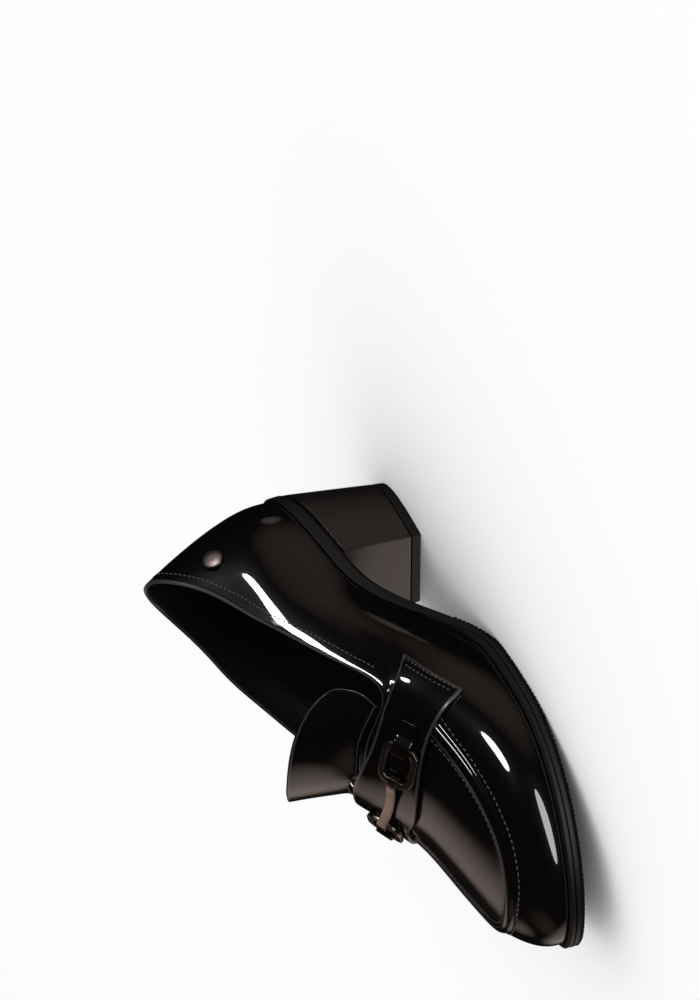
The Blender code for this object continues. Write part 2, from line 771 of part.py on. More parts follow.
def strap_grid():
    """Points on the last under the strap, from its inner end to its outer end, back to front."""
    back, back_ends = strap_edge("back")
    front, front_ends = strap_edge("front")
    wall = [1 + step / STRAP_WALL_STEPS for step in range(1, STRAP_WALL_STEPS + 1)]
    roof = [step / STRAP_ROOF_STEPS for step in range(STRAP_ROOF_STEPS + 1)]
    steps = [-step for step in wall[::-1] + roof[:0:-1]] + roof + wall
    grid = []
    for step in steps:
        side = 1 if step >= 0 else -1
        line = []
        for t in np.linspace(0, 1, STRAP_LINES):
            end = back_ends[side] * (1 - t) + front_ends[side] * t
            share = min(abs(step), 1) + max(abs(step) - 1, 0) * (end - 1)
            back_share = min(share, back_ends[side]) * side
            front_share = min(share, front_ends[side]) * side
            along = back(back_share)[0, 0] * (1 - t) + front(front_share)[0, 0] * t
            line.append(last_point(side, along, share))
        grid.append(line)
    return np.array(grid)


def outward_normals(grid):
    """Normals of a sheet over the last, turned to its outer face."""
    normals = grid_normals(grid)
    middle = normals[len(grid) // 2, grid.shape[1] // 2]
    return normals * np.sign(middle[2])


def lay_on(base, grid, clearance, reach=6.0):
    """Moves the points of a sheet out along their normals until they clear the solid below."""
    tree = BVHTree.FromPolygons(
        [vertex.co for vertex in base.data.vertices],
        [tuple(face.vertices) for face in base.data.polygons],
    )
    normals = outward_normals(grid)
    lifts = np.full(grid.shape[:2], np.nan)
    for i, j in np.ndindex(lifts.shape):
        along, out, up = normals[i, j]
        way = Vector((out, -along, up))
        start = Vector(turned(grid[i, j])) + way * reach * MM
        distance = tree.ray_cast(start, -way, 2 * reach * MM)[3]
        if distance is not None:
            lifts[i, j] = reach - distance / MM
    for line in lifts:
        known = np.flatnonzero(~np.isnan(line))
        line[:] = np.interp(np.arange(len(line)), known, line[known])
    bridged = lifts.copy()
    for _ in range(3):
        padded = np.pad(bridged, 1, mode="edge")
        mean = (padded[:-2, 1:-1] + padded[2:, 1:-1] + padded[1:-1, :-2] + padded[1:-1, 2:]) / 4
        bridged = np.maximum(lifts, mean)
    return grid + normals * (bridged + clearance)[..., None]


def add_sheet(name, outer, inner, look):
    """A solid between two grids of points with the same shape."""
    rows, columns = outer.shape[:2]
    points = np.concatenate([outer.reshape(-1, 3), inner.reshape(-1, 3)])
    shift = rows * columns
    number = np.arange(shift).reshape(rows, columns)
    faces = []
    for i in range(rows - 1):
        for j in range(columns - 1):
            cell = [number[i, j], number[i + 1, j], number[i + 1, j + 1], number[i, j + 1]]
            faces.append(cell)
            faces.append([corner + shift for corner in cell])
    edge = list(number[:-1, 0]) + list(number[-1, :-1]) + list(number[:0:-1, -1]) + list(number[0, :0:-1])
    for a, b in zip(edge, edge[1:] + edge[:1]):
        faces.append([a, b, b + shift, a + shift])
    return add_solid(name, points, faces, look)


def build_strap(upper, look):
    """Saddle strap laid over the upper. Returns its outer face for what lies on it."""
    inner = lay_on(upper, strap_grid(), STRAP_CLEARANCE)
    outer = inner + outward_normals(inner) * STRAP_THICK
    add_sheet("saddle_strap", outer, inner, look)
    return outer


def throat_edge(share):
    """Throat's edge on the last, from the inner corner (-1) over the crest (0) to the outer (1)."""
    side = 1 if share >= 0 else -1
    return rib(CREST_RIB - abs(share) * (CREST_RIB - CORNER_RIB), side)[2]


def tongue_seat(share):
    """Where the tongue starts: just behind the throat's edge and a little below its outer face."""
    edge = throat_edge(share)
    along, out = edge[:2]
    nudge = 0.5
    fall_along = (plug_height(along + nudge, out) - plug_height(along - nudge, out))[0] / (2 * nudge)
    fall_out = (plug_height(along, out + nudge) - plug_height(along, out - nudge))[0] / (2 * nudge)
    normal = np.array([-fall_along, -fall_out, 1.0])
    normal /= np.linalg.norm(normal)
    back = np.cross(normal, (0, 1, 0))
    back *= -np.sign(back[0]) / np.linalg.norm(back)
    return edge - normal * TONGUE_SET + back * TONGUE_BASE_GAP


def build_tongue(look):
    """Tab that rises from the throat's edge, arched across, with a rounded end."""
    top = throat_edge(0)
    start = np.array([top[0], top[2]])
    bend = start + (-TONGUE_BEND_BACK, TONGUE_BEND_RISE)
    tip = start + (-TONGUE_LEAN, TONGUE_RISE)
    slope = math.radians(TONGUE_FALL_ANGLE)
    fall_way = np.array([math.cos(slope), math.sin(slope)])
    last_turn = math.radians(TONGUE_LAST_COLUMN_TURN)
    columns = np.sin(np.linspace(-last_turn, last_turn, TONGUE_COLUMNS + 1)) * TONGUE_END_SHARE
    grid = []
    for share in columns:
        reach = (1 - abs(share) ** TONGUE_ROUNDNESS) ** (1 / TONGUE_ROUNDNESS)
        angle = share * TONGUE_HALF_WIDTH / TONGUE_ARCH_RADIUS
        aside = TONGUE_ARCH_RADIUS * math.sin(angle)
        fall = TONGUE_ARCH_RADIUS * (1 - math.cos(angle))
        line = []
        for t in np.linspace(0, reach, TONGUE_ROWS + 1):
            middle = start * (1 - t) ** 2 + bend * 2 * t * (1 - t) + tip * t * t
            along, up = middle - fall_way * fall
            line.append([along, top[1] + TONGUE_SHIFT + aside, up])
        first = np.array(line[0])
        seat = tongue_seat(share * TONGUE_BASE_SHARE)
        fade = (1 - np.linspace(0, 1, TONGUE_ROWS + 1))[:, None] ** 3
        grid.append(np.array(line) + (seat - first) * fade)
    outer = np.array(grid)
    inner = outer - outward_normals(outer) * TONGUE_THICK
    return add_sheet("tongue", outer, inner, look)


def saddle_map(grid):
    """A function from (girth, across) in millimetres to a place on the strap, with its axes."""
    lines = grid.shape[1]
    crest = STRAP_WALL_STEPS + STRAP_ROOF_STEPS
    column = BIT_PLACE * (lines - 1)
    low = int(column)
    spine = grid[:, low] + (grid[:, low + 1] - grid[:, low]) * (column - low)
    girth = np.concatenate([[0], np.cumsum(np.linalg.norm(np.diff(spine, axis=0), axis=1))])
    by_girth = Curve(girth - girth[crest], grid.reshape(len(grid), -1))

    def flat(around, across):
        row = by_girth(around).reshape(lines, 3)
        width = np.concatenate([[0], np.cumsum(np.linalg.norm(np.diff(row, axis=0), axis=1))])
        return Curve(width, row)(width[-1] * BIT_PLACE + across)[0]

    def place(around, across, off):
        nudge = 0.5
        girth_way = flat(around + nudge, across) - flat(around - nudge, across)
        cross_way = flat(around, across + nudge) - flat(around, across - nudge)
        normal = np.cross(cross_way, girth_way)
        normal *= np.sign(normal[2]) / np.linalg.norm(normal)
        girth_way /= np.linalg.norm(girth_way)
        cross_way = np.cross(girth_way, normal)
        return flat(around, across) + normal * off, girth_way, cross_way, normal

    return place


def ring_outline(inset):
    """Half-round end toward the bar, chamfered end toward the loop, each side with a middle point."""
    length, width = RING_LENGTH / 2 - inset, RING_WIDTH / 2 - inset
    radius = RING_ROUND - inset
    chamfer = RING_CHAMFER - inset * (2 - math.sqrt(2))
    outline = [(length, 0), (length, width - chamfer), (length - chamfer, width), (0, width)]
    for step in range(CORNER_STEPS + 1):
        turn = math.radians(90 * step / CORNER_STEPS)
        corner = (radius - length, width - radius)
        outline.append((corner[0] - radius * math.sin(turn), corner[1] + radius * math.cos(turn)))
    outline.append((-length, 0))
    return outline + [(x, -y) for x, y in outline[-2:0:-1]]


def ring_centre(sign, place):
    """Middle of a ring and its axes: away from the bar, across the strap and off it."""
    away = BIT_SPAN / 2 - BAR_THICK - GAP - RING_BAND + RING_LENGTH / 2
    middle, girth_way, cross_way, normal = place(sign * away, 0, RING_LIFT)
    return middle, girth_way * sign, cross_way, normal


def build_ring(name, sign, place, look):
    middle, away, across, off = ring_centre(sign, place)
    rings = []
    for inset, height in ((0, 0), (0, RING_THICK), (RING_BAND, RING_THICK), (RING_BAND, 0)):
        outline = ring_outline(inset)
        rings.append([middle + away * x + across * y + off * height for x, y in outline])
    points = [point for ring in rings for point in ring]
    count = len(rings[0])
    faces = []
    for k in range(4):
        for i in range(count):
            j, after = (i + 1) % count, (k + 1) % 4
            faces.append([k * count + i, k * count + j, after * count + j, after * count + i])
    return add_solid(name, points, faces, look)


def add_strip(name, path, across, width, thick, look):
    """A bent strip: its lower face follows the path, and its thickness stands off it."""
    path = np.array(path)
    ways = np.diff(path, axis=0)
    ways /= np.linalg.norm(ways, axis=1, keepdims=True)
    ways = np.concatenate([ways[:1], ways[:-1] + ways[1:], ways[-1:]])
    normals = np.cross(ways, across)
    normals /= np.linalg.norm(normals, axis=1, keepdims=True)
    middle = len(path) // 2
    normals *= np.sign(normals[middle, 2])
    half = np.asarray(across) * width / 2
    lower = np.stack([path - half, path + half], axis=1)
    upper = lower + (normals * thick)[:, None, :]
    return add_sheet(name, upper, lower, look)


def build_bar(place, look):
    """Bar over both rings' round ends, hooked down inside them."""
    ends, ways = [], []
    for sign in (1, -1):
        middle, away, across, off = ring_centre(sign, place)
        ways.append(across)
        over = RING_THICK + GAP
        inside = RING_BAND + GAP - RING_LENGTH / 2
        outside = -RING_LENGTH / 2 - GAP
        spots = ((inside, over - BAR_HOOK), (inside, over), (outside, over))
        ends.append([middle + away * x + off * up for x, up in spots])
    crest = place(0, 0, BAR_MIDDLE_LIFT)[0]
    a, b = ends[0][2], ends[1][2]
    shares = np.linspace(-1, 1, BAR_STEPS)
    bow = [crest + (b - a) / 2 * t + ((a + b) / 2 - crest) * t * t for t in shares]
    path = ends[0][:2] + bow + ends[1][1::-1]
    turn = np.concatenate([[-1, -1], shares, [1, 1]])[:, None]
    across = (ways[0] * (1 - turn) + ways[1] * (1 + turn)) / 2
    return add_strip("bit_bar", path, across, BAR_WIDTH, BAR_THICK, look)


def build_loop(name, sign, place, look):
    """Leather loop over a ring's end, from its sewn tail to inside the ring."""
    middle, away, across, off = ring_centre(sign, place)
    ring_away = BIT_SPAN / 2 - BAR_THICK - GAP - RING_BAND + RING_LENGTH / 2
    end = RING_LENGTH / 2 + GAP
    inside = RING_LENGTH / 2 - RING_BAND - STRAP_CLEARANCE
    over = RING_THICK + GAP
    path, ways = [], []

    def rest(around):
        here, _, cross_way, _ = place(sign * (ring_away + around), 0, STRAP_CLEARANCE)
        path.append(here)
        ways.append(cross_way * sign)

    for beyond in np.linspace(LOOP_TAIL, LOOP_CLIMB, LOOP_STEPS):
        rest(end + beyond)
    for around, up in ((end + LOOP_CLIMB / 4, over * LOOP_FIRST_LIFT), (end - GAP, over), (inside, over)):
        path.append(middle + away * around + off * up)
        ways.append(across)
    rest(inside - STRAP_CLEARANCE)
    ways = [way * np.sign(way @ ways[0]) for way in ways]
    return add_strip(name, path, ways, LOOP_WIDTH, LOOP_THICK, look)


def build_rivet(look):
    """Low domed disc on the outer quarter."""
    here = roof_point(RIVET_RIB, 1, RIVET_SHARE)
    ahead = roof_point(RIVET_RIB + 0.1, 1, RIVET_SHARE) - roof_point(RIVET_RIB - 0.1, 1, RIVET_SHARE)
    upward = roof_point(RIVET_RIB, 1, RIVET_SHARE + 0.05) - roof_point(RIVET_RIB, 1, RIVET_SHARE - 0.05)
    normal = np.cross(ahead, upward)
    normal *= np.sign(normal[1]) / np.linalg.norm(normal)
    ahead /= np.linalg.norm(ahead)
    upward = np.cross(normal, ahead)
    edge = RIVET_THICK - RIVET_DOME
    levels = [(1.0, 0.0), (1.0, edge)]
    for turn in (25, 50, 72):
        angle = math.radians(turn)
        levels.append((math.cos(angle), edge + RIVET_DOME * math.sin(angle)))
    points, faces = [], []
    for reach, height in levels:
        for step in range(ROUND_STEPS):
            angle = 2 * math.pi * step / ROUND_STEPS
            spoke = ahead * math.cos(angle) + upward * math.sin(angle)
            points.append(here + normal * (GAP + height) + spoke * reach * RIVET_RADIUS)
    for k in range(len(levels) - 1):
        for i in range(ROUND_STEPS):
            a, b = k * ROUND_STEPS + i, k * ROUND_STEPS + (i + 1) % ROUND_STEPS
            faces.append([a, b, b + ROUND_STEPS, a + ROUND_STEPS])
    faces.append(list(range(ROUND_STEPS)))
    faces.append(list(range((len(levels) - 1) * ROUND_STEPS, len(levels) * ROUND_STEPS)))
    return add_solid("rivet", points, faces, look)


def clear_scene():
    for thing in list(bpy.data.objects):
        bpy.data.objects.remove(thing, do_unlink=True)


def main():
    clear_scene()
    patent = make_look("black_patent_leather", (0.006, 0.005, 0.005), 0.08, coat=1.0)
    rubber = make_look("black_rubber", (0.02, 0.017, 0.016), 0.55)
    heel = make_look("black_heel_wrap", (0.015, 0.012, 0.011), 0.32)
    sock = make_look("black_lining_leather", (0.01, 0.01, 0.011), 0.5)
    gunmetal = make_look("gunmetal", (0.16, 0.14, 0.13), 0.3, metallic=1.0)
    build_outsole(rubber)
    build_welt(rubber)
    build_heel_block(heel)
    build_heel_top_piece(rubber)
    build_insole(sock)
    upper = build_upper(patent)
    build_tongue(patent)
    strap = build_strap(upper, patent)
    place = saddle_map(strap)
    for side, sign in (("lateral", 1), ("medial", -1)):
        build_ring(f"bit_ring_{side}", sign, place, gunmetal)
        build_loop(f"ring_loop_{side}", sign, place, patent)
    build_bar(place, gunmetal)
    build_rivet(gunmetal)


main()
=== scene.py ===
# %% [markdown]
# # Block-heeled loafer pump in black patent leather
#
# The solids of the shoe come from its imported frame. This lesson gives them the smooth skin of real
# patent leather, adds the stitches and the fine teeth of the sole, and then lights the shoe as a
# product is lit in a studio. Lengths are in millimetres and turn into metres where a mesh is made.

import math

import bmesh
import bpy
import numpy as np
from mathutils import Matrix, Vector
from mathutils.bvhtree import BVHTree

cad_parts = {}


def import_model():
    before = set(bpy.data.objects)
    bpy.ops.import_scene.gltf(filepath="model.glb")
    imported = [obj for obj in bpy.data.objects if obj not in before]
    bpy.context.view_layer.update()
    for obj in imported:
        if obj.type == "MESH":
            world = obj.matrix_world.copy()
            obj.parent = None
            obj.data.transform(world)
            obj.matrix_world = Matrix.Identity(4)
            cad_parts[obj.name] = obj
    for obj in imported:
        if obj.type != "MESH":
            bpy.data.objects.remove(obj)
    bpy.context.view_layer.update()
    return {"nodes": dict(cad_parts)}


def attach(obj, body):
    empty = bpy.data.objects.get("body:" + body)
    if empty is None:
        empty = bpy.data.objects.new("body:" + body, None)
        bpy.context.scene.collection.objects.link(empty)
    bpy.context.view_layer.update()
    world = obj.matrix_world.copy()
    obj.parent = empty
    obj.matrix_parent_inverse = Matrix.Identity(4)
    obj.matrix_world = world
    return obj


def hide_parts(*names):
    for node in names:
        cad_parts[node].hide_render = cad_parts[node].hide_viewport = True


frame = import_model()
print("nodes:", sorted(frame["nodes"]))

# %% [markdown]
# ## Places on the shoe
#
# Along runs from the back of the sole to the toe, out is positive to the outer side and up starts at
# the floor. The sole's profile is the one line that all the rest stands on: a sloping heel seat, a
# shank that falls in an S, a flat ball and a toe that springs up. A formula keeps it smooth, and so
# a stitch or a tooth can be put at any place along the shoe.

# %% Sizes of the shoe
MM = 0.001
SHOE_LENGTH = 242.5
BALL_HALF_WIDTH = 44.0
BACK_RISE = 67.3
TREAD_MIDDLE = 31.5
HEEL_HEIGHT = 45.3
SEAT_LENGTH = 60.0
SEAT_DROP = 10.4
BALL_START = 129.0
SPRING_START = 158.0
TOE_SPRING = 14.0
SPRING_POWER = 1.6
SEAT_STACK = 6.8
FORE_STACK = 6.7
WELT_FULL = 120.0


def world(along, out, up):
    return Vector((out, TREAD_MIDDLE - along, up)) * MM


def clamp_share(value, low, high):
    return min(max((value - low) / (high - low), 0.0), 1.0)


def sole_bottom(along):
    slope = -SEAT_DROP / SEAT_LENGTH
    if along < SEAT_LENGTH:
        return HEEL_HEIGHT + slope * along
    t = clamp_share(along, SEAT_LENGTH, BALL_START)
    fall = (HEEL_HEIGHT - SEAT_DROP) * (1 - t * t * (3 - 2 * t))
    fall += slope * (BALL_START - SEAT_LENGTH) * t * (1 - t) ** 2
    return fall + TOE_SPRING * clamp_share(along, SPRING_START, SHOE_LENGTH) ** SPRING_POWER


def sole_top(along):
    t = clamp_share(along, SEAT_LENGTH, WELT_FULL)
    return sole_bottom(along) + SEAT_STACK + (FORE_STACK - SEAT_STACK) * t * t * (3 - 2 * t)


print("sole at the heel, shank, ball and toe:", [round(sole_bottom(a), 1) for a in (0, 90, 140, 242)])

# %% [markdown]
# ## Grain and ripple, two effects that several materials share
#
# Patent leather is a sheet under a thick clear lacquer. It is never quite flat, so a straight lamp
# is bent a little where it is mirrored. Lining, heel cover and rubber have a fine grain instead.
# Each effect is a node group that puts out a height in millimetres, built once. A material then
# feeds that height into its own Bump node.

# %% Node groups for ripple and grain
def new_group(name, numbers):
    group = bpy.data.node_groups.new(name, "ShaderNodeTree")
    for label, value in numbers.items():
        socket = group.interface.new_socket(label, in_out="INPUT", socket_type="NodeSocketFloat")
        socket.default_value = value
    group.interface.new_socket("Height", in_out="OUTPUT", socket_type="NodeSocketFloat")
    return group


def add_noise(group, places, detail, roughness):
    noise = group.nodes.new("ShaderNodeTexNoise")
    noise.inputs["Detail"].default_value = detail
    noise.inputs["Roughness"].default_value = roughness
    group.links.new(places.outputs["Object"], noise.inputs["Vector"])
    return noise


def multiply(group, first, second):
    node = group.nodes.new("ShaderNodeMath")
    node.operation = "MULTIPLY"
    group.links.new(first, node.inputs[0])
    group.links.new(second, node.inputs[1])
    return node.outputs[0]


def build_ripple():
    group = new_group("lacquer_ripple", {"Scale": 60.0, "Depth": 0.05})
    entry = group.nodes.new("NodeGroupInput")
    leave = group.nodes.new("NodeGroupOutput")
    places = group.nodes.new("ShaderNodeTexCoord")
    noise = add_noise(group, places, 1.5, 0.4)
    group.links.new(entry.outputs["Scale"], noise.inputs["Scale"])
    height = multiply(group, noise.outputs["Fac"], entry.outputs["Depth"])
    group.links.new(height, leave.inputs["Height"])
    return group


def build_grain():
    group = new_group("fine_grain", {"Scale": 900.0, "Depth": 0.04})
    entry = group.nodes.new("NodeGroupInput")
    leave = group.nodes.new("NodeGroupOutput")
    places = group.nodes.new("ShaderNodeTexCoord")
    cells = group.nodes.new("ShaderNodeTexVoronoi")
    cells.feature = "SMOOTH_F1"
    noise = add_noise(group, places, 3.0, 0.6)
    group.links.new(places.outputs["Object"], cells.inputs["Vector"])
    group.links.new(entry.outputs["Scale"], cells.inputs["Scale"])
    group.links.new(entry.outputs["Scale"], noise.inputs["Scale"])
    mixed = group.nodes.new("ShaderNodeMath")
    mixed.operation = "ADD"
    group.links.new(cells.outputs["Distance"], mixed.inputs[0])
    group.links.new(noise.outputs["Fac"], mixed.inputs[1])
    height = multiply(group, mixed.outputs[0], entry.outputs["Depth"])
    group.links.new(height, leave.inputs["Height"])
    return group


RIPPLE = build_ripple()
GRAIN = build_grain()
print("groups:", RIPPLE.name, GRAIN.name)

# %% [markdown]
# ## Materials
#
# The patent leather is almost black below a clear coat, and the coat makes all its gloss. The lining
# is plain black leather with a grain, the sole is matte rubber, the heel is covered in satin black
# with a breath of brown, and the bit is gunmetal: a dark, slightly brown metal with soft edges. The
# edge paint is a paler black with less gloss. It is partly the paint of cut edges and partly a painted
# highlight: its pale colour draws the thin bright lines along the rims of collar, tongue and strap.

# %% Materials
def make_material(
    name, colour, roughness, effect, scale, depth,
    metallic=0.0, coat=0.0, coat_rough=0.03, specular=0.5,
):
    look = bpy.data.materials.new(name)
    look.use_nodes = True
    nodes, links = look.node_tree.nodes, look.node_tree.links
    shader = nodes["Principled BSDF"]
    shader.inputs["Base Color"].default_value = (*colour, 1.0)
    shader.inputs["Roughness"].default_value = roughness
    shader.inputs["Metallic"].default_value = metallic
    shader.inputs["Specular IOR Level"].default_value = specular
    shader.inputs["Coat Weight"].default_value = coat
    shader.inputs["Coat Roughness"].default_value = coat_rough
    relief = nodes.new("ShaderNodeGroup")
    relief.node_tree = effect
    relief.inputs["Scale"].default_value = scale
    relief.inputs["Depth"].default_value = depth
    bump = nodes.new("ShaderNodeBump")
    bump.inputs["Strength"].default_value = 1.0
    bump.inputs["Distance"].default_value = MM
    links.new(relief.outputs["Height"], bump.inputs["Height"])
    links.new(bump.outputs["Normal"], shader.inputs["Normal"])
    return look


LACQUERED_BLACK = (0.0022, 0.0017, 0.0016)
LACQUER = {"coat": 1.0, "specular": 0.04}
PAINT = {"coat": 0.5, "coat_rough": 0.15}
SATIN = {"coat": 0.35, "coat_rough": 0.18}
METAL = {"metallic": 1.0}

patent = make_material("patent_leather", LACQUERED_BLACK, 0.3, RIPPLE, 55, 0.08, **LACQUER)
strap_patent = make_material("patent_strap", LACQUERED_BLACK, 0.3, RIPPLE, 70, 0.05, **LACQUER)
# paler black for bevels: partly cut-edge paint, partly a painted highlight for thin bright edge lines
edge_paint_highlight = make_material("edge_paint_highlight", (0.024, 0.021, 0.0195), 0.34, RIPPLE, 90, 0.01, **PAINT)
lining = make_material("lining_leather", (0.006, 0.0058, 0.006), 0.34, GRAIN, 800, 0.10)
sock = make_material("sock_leather", (0.005, 0.0048, 0.005), 0.48, GRAIN, 1000, 0.06)
rubber = make_material(
    "sole_rubber", (0.0048, 0.0044, 0.0043), 0.5, GRAIN, 1500, 0.03, specular=0.3
)
heel_cover = make_material("heel_cover", (0.008, 0.006, 0.005), 0.3, GRAIN, 1200, 0.012, **SATIN)
gunmetal = make_material("gunmetal", (0.26, 0.215, 0.19), 0.3, RIPPLE, 300, 0.004, **METAL)
dark_gunmetal = make_material("dark_gunmetal", (0.17, 0.14, 0.125), 0.34, RIPPLE, 300, 0.006, **METAL)
thread = make_material("waxed_thread", (0.07, 0.062, 0.058), 0.35, GRAIN, 2500, 0.01)
print("materials:", len(bpy.data.materials))

# %% [markdown]
# ## A smooth skin for each solid
#
# A solid of the frame is made of flat facets, and a mirror finish would show each of them. A copy of
# its mesh is merged, its triangles are joined back into four-sided faces, its edges get a narrow
# bevel, and a Subdivision Surface then rounds the rest. The bevel is what keeps an edge an edge: the
# smoothing can only round it as far as the bevel reaches. A piece may be given a shape, a function
# that presses creases into it before the bevel, and a paint, a material for the bevel alone.

# %% A helper that makes the skin
SKIN_LEVELS = 2
BEVEL_SEGMENTS = 2
MERGE_WITHIN = 1e-6


def add_piece(name, mesh):
    piece = bpy.data.objects.new(name, mesh)
    bpy.context.scene.collection.objects.link(piece)
    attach(piece, "root")
    return piece


def smooth_skin(node, look, slot, edge, sharp_from=30.0, join_within=25.0, shape=None, paint=None):
    work = bmesh.new()
    work.from_mesh(frame["nodes"][node].data)
    bmesh.ops.remove_doubles(work, verts=work.verts, dist=MERGE_WITHIN)
    bmesh.ops.join_triangles(
        work,
        faces=work.faces,
        angle_face_threshold=math.radians(join_within),
        angle_shape_threshold=math.radians(180),
    )
    if shape:
        shape(work)
    for face in work.faces:
        face.material_index = 0
    sharp = [
        e for e in work.edges
        if len(e.link_faces) == 2 and e.is_convex and e.calc_face_angle() > math.radians(sharp_from)
    ]
    bmesh.ops.bevel(
        work, geom=sharp, offset=edge * MM, offset_type="OFFSET", affect="EDGES",
        segments=BEVEL_SEGMENTS, profile=0.5, material=1 if paint else -1, clamp_overlap=True,
    )
    for face in work.faces:
        face.smooth = True
    mesh = bpy.data.meshes.new(node + "_skin")
    work.to_mesh(mesh)
    work.free()
    if "custom_normal" in mesh.attributes:
        mesh.attributes.remove(mesh.attributes["custom_normal"])
    mesh.materials.append(look)
    if paint:
        mesh.materials.append(paint)
    piece = add_piece(node + "_skin", mesh)
    rounding = piece.modifiers.new("rounding", "SUBSURF")
    rounding.levels = rounding.render_levels = SKIN_LEVELS
    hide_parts(node)
    threes = sum(len(p.vertices) == 3 for p in mesh.polygons)
    print(node, "faces", len(mesh.polygons), "of them triangles", threes, "bevelled edges", len(sharp))
    return piece


# %% [markdown]
# ## Sole, welt and heel
#
# A moulded rubber sole has crisp edges with a radius of a few tenths of a millimetre. So do the
# welt, the covered heel and its top piece.

# %% Skins of the bottom
BOTTOM_COLUMNS = ("node", "look", "slot", "edge")
BOTTOM = (
    ("outsole", rubber, "sole_rubber", 0.3),
    ("welt", rubber, "sole_rubber", 0.15),
    ("heel_block", heel_cover, "heel_cover", 0.5),
    ("heel_top_piece", rubber, "sole_rubber", 0.3),
    ("insole", sock, "lining", 0.5),
)

for row in BOTTOM:
    smooth_skin(**dict(zip(BOTTOM_COLUMNS, row)), join_within=20)

# %% [markdown]
# ## Upper
#
# The upper is one wall of about 1.8 mm with patent leather outside and a grained lining inside. Its
# faces are sorted by which way they look: away from a line through the middle of the foot is
# outside, toward it is lining. That line falls from the heel to the toe as the foot does.

# %% Which faces are lining
MIDDLE_OUT = -3.0
MIDDLE_LINE_ALONG = (0.0, 60.0, 110.0, 160.0, 240.0)
MIDDLE_LINE_UP = (84.0, 72.0, 48.0, 26.0, 24.0)
ENDS_HELD = 25.0
INWARD_BELOW = -0.2


def middle_of_foot(along):
    return world(along, MIDDLE_OUT, float(np.interp(along, MIDDLE_LINE_ALONG, MIDDLE_LINE_UP)))


def looks_inward(face):
    along = TREAD_MIDDLE - face.center.y / MM
    held = min(max(along, ENDS_HELD), SHOE_LENGTH - ENDS_HELD)
    return face.normal.dot((face.center - middle_of_foot(held)).normalized()) < INWARD_BELOW


print("middle of the foot at the heel, waist and ball:", [middle_of_foot(a) for a in (20, 80, 150)])

# %% [markdown]
# ### Soft creases
#
# Lacquered leather on a last is smooth, with only a few long, shallow dents and swells at the
# quarters, the waist and the ball. Each is a soft trough along a line, or a ridge where its depth is
# negative, and its depth fades to both sides as a bell curve. Both faces of the wall move together,
# so the wall keeps its thickness.

# %% Creases of the upper
CREASE_COLUMNS = ("side", "along_from", "up_from", "along_to", "up_to", "half_width", "depth")
CREASES = (
    (1, 96.0, 66.0, 128.0, 50.0, 6.0, -0.35),
    (1, 104.0, 50.0, 126.0, 34.0, 7.0, 0.55),
    (1, 62.0, 66.0, 98.0, 46.0, 8.0, 0.25),
    (1, 150.0, 30.0, 176.0, 24.0, 7.0, 0.45),
    (-1, 118.0, 52.0, 138.0, 28.0, 7.0, 0.50),
    (-1, 66.0, 70.0, 98.0, 46.0, 9.0, 0.50),
    (-1, 150.0, 34.0, 172.0, 22.0, 7.0, 0.40),
)


def press_creases(work):
    for vert in work.verts:
        along, up = TREAD_MIDDLE - vert.co.y / MM, vert.co.z / MM
        outward = (vert.co - middle_of_foot(along)).normalized()
        for side, along_a, up_a, along_b, up_b, half_width, depth in CREASES:
            if vert.co.x * side < 0:
                continue
            way = np.array((along_b - along_a, up_b - up_a))
            off = np.array((along - along_a, up - up_a))
            share = float(np.clip(off @ way / (way @ way), 0.0, 1.0))
            gap = float(np.hypot(*(off - way * share)))
            vert.co -= outward * depth * MM * math.exp(-((gap / half_width) ** 2))


print("creases:", len(CREASES), "rows of", CREASE_COLUMNS)

# %% [markdown]
# ### Skin of the upper
#
# The rim of the collar and throat is folded leather. The paler edge paint on its bevel is a painted
# highlight that draws the bright line along it, and the faces that look inward get the lining.

# %% Skin of the upper, with its lining
UPPER_EDGE = 0.45
CUT_EDGE_FROM = 50

upper = smooth_skin(
    "upper", patent, "patent_leather", UPPER_EDGE,
    sharp_from=CUT_EDGE_FROM, shape=press_creases, paint=edge_paint_highlight,
)
upper.data.materials.append(lining)
LINING_INDEX = len(upper.data.materials) - 1
inside = [face for face in upper.data.polygons if looks_inward(face)]
for face in inside:
    face.material_index = LINING_INDEX
print("lining faces:", len(inside))

# %% [markdown]
# ## Tongue, saddle strap and the loops of the bit
#
# These are cut pieces of the same leather, with edges a little rounded. On the tongue and the strap
# the edges are painted in a black that is paler and less glossy than the lacquer: partly edge paint,
# partly a painted highlight that draws each edge as a thin bright line.

# %% Skins of the small leather pieces
smooth_skin(
    "tongue", patent, "patent_leather", UPPER_EDGE, sharp_from=CUT_EDGE_FROM, paint=edge_paint_highlight
)
strap = smooth_skin(
    "saddle_strap", strap_patent, "patent_leather", 0.4, sharp_from=CUT_EDGE_FROM, paint=edge_paint_highlight
)
for side in ("lateral", "medial"):
    smooth_skin(f"ring_loop_{side}", strap_patent, "patent_leather", 0.25, sharp_from=60)

# %% [markdown]
# ## Bit and rivet
#
# The rings and the bar are cast metal with flat faces and ground edges, which catch the light as
# thin lines. A bevel of a few tenths on each edge is enough for that.

# %% Skins of the metal pieces
for side in ("lateral", "medial"):
    smooth_skin(f"bit_ring_{side}", gunmetal, "gunmetal", 0.45, sharp_from=35, join_within=15)
smooth_skin("bit_bar", gunmetal, "gunmetal", 0.3, sharp_from=50)
smooth_skin("rivet", dark_gunmetal, "gunmetal", 0.2, sharp_from=25)

# %% [markdown]
# ## Stitches
#
# A row of stitches is one joined mesh of small flattened beads. Rays cast on to the finished skin
# find the row's line. Each bead then lies along that line, half sunk in the leather, and takes its
# tilt from the nearest place of the skin. Rows run below the topline, on both sides of the raised
# seam round the plug, and across the strap's ends.

# %% Helpers for rows of stitches
def skin_tree(piece):
    return BVHTree.FromObject(piece, bpy.context.evaluated_depsgraph_get())


